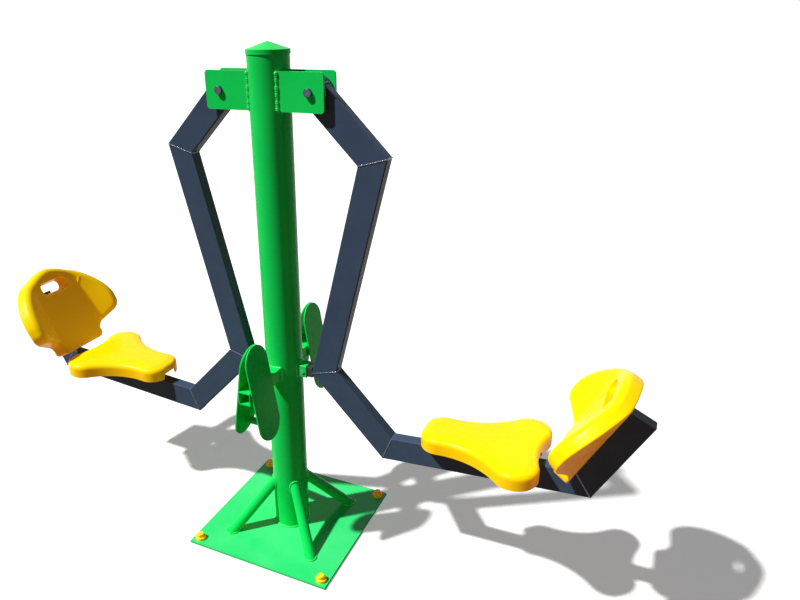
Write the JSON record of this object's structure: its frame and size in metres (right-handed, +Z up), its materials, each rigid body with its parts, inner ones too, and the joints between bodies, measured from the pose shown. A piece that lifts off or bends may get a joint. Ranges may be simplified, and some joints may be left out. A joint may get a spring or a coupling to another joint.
{
  "type": "outdoor leg press machine",
  "caption": "Outdoor leg press for two users: central post on a bolted base plate, two swinging arms with seats, and pairs of fixed foot plates.",
  "frame": {"origin": "centre of the base plate's underside, on the ground, on the post's axis", "axes": "+Z up the post, +X towards the right-hand seat, +Y away from the front foot plates"},
  "size_m": [2.1286, 0.5, 1.5386],
  "materials": {
    "green_paint": "gloss powder coat",
    "navy_paint": "satin powder coat",
    "seat_plastic": "moulded, semi-gloss",
    "anchor_cap": "moulded",
    "rubber": "matt",
    "dark_bolt": "blackened, satin",
    "zinc": "zinc plated",
    "bearing_steel": "ground",
    "brass": "turned"
  },
  "bodies": {
    "stand": {"base_plate": "green_paint", "strut_front_right": "green_paint", "strut_front_left": "green_paint", "strut_rear_right": "green_paint", "strut_rear_left": "green_paint", "anchor_caps": "anchor_cap", "post": "green_paint", "post_cap": "green_paint", "hanger_front_right": "green_paint", "hanger_front_left": "green_paint", "hanger_rear_right": "green_paint", "hanger_rear_left": "green_paint", "foot_bar": "green_paint", "foot_plate_front_right": "green_paint", "foot_plate_front_left": "green_paint", "foot_plate_rear_right": "green_paint", "foot_plate_rear_left": "green_paint", "foot_ties": "green_paint", "stop_bracket_right": "green_paint", "stop_bracket_left": "green_paint", "stop_buffer_right": "rubber", "stop_buffer_left": "rubber", "stop_screws": "zinc", "pivot_axles": "zinc", "pivot_bolts": "dark_bolt", "pivot_shims": "zinc", "bearing_spacers": "zinc", "bearing_inner_rings": "bearing_steel"},
    "right_arm": {"right_hub": "navy_paint", "right_bearing_outer_rings": "bearing_steel", "right_bearing_balls": "bearing_steel", "right_arm_top": "navy_paint", "right_arm_leg": "navy_paint", "right_arm_knee": "navy_paint", "right_seat_bar": "navy_paint", "right_back_bar": "navy_paint", "right_end_plate": "navy_paint", "right_seat": "seat_plastic", "right_backrest": "seat_plastic", "right_seat_bolts": "zinc", "right_back_bolts": "zinc", "right_bolt_washers": "zinc", "right_inserts": "brass"},
    "left_arm": {"left_hub": "navy_paint", "left_bearing_outer_rings": "bearing_steel", "left_bearing_balls": "bearing_steel", "left_arm_top": "navy_paint", "left_arm_leg": "navy_paint", "left_arm_knee": "navy_paint", "left_seat_bar": "navy_paint", "left_back_bar": "navy_paint", "left_end_plate": "navy_paint", "left_seat": "seat_plastic", "left_backrest": "seat_plastic", "left_seat_bolts": "zinc", "left_back_bolts": "zinc", "left_bolt_washers": "zinc", "left_inserts": "brass"}
  },
  "joints": [
    {"name": "right_arm_swing", "type": "hinge", "parent": "stand", "child": "right_arm", "pos_m": [0.135, 0, 1.418], "axis": [0, -1, 0], "range_deg": [0, 30]},
    {"name": "left_arm_swing", "type": "hinge", "parent": "stand", "child": "left_arm", "pos_m": [-0.135, 0, 1.418], "axis": [0, 1, 0], "range_deg": [0, 30]}
  ]
}
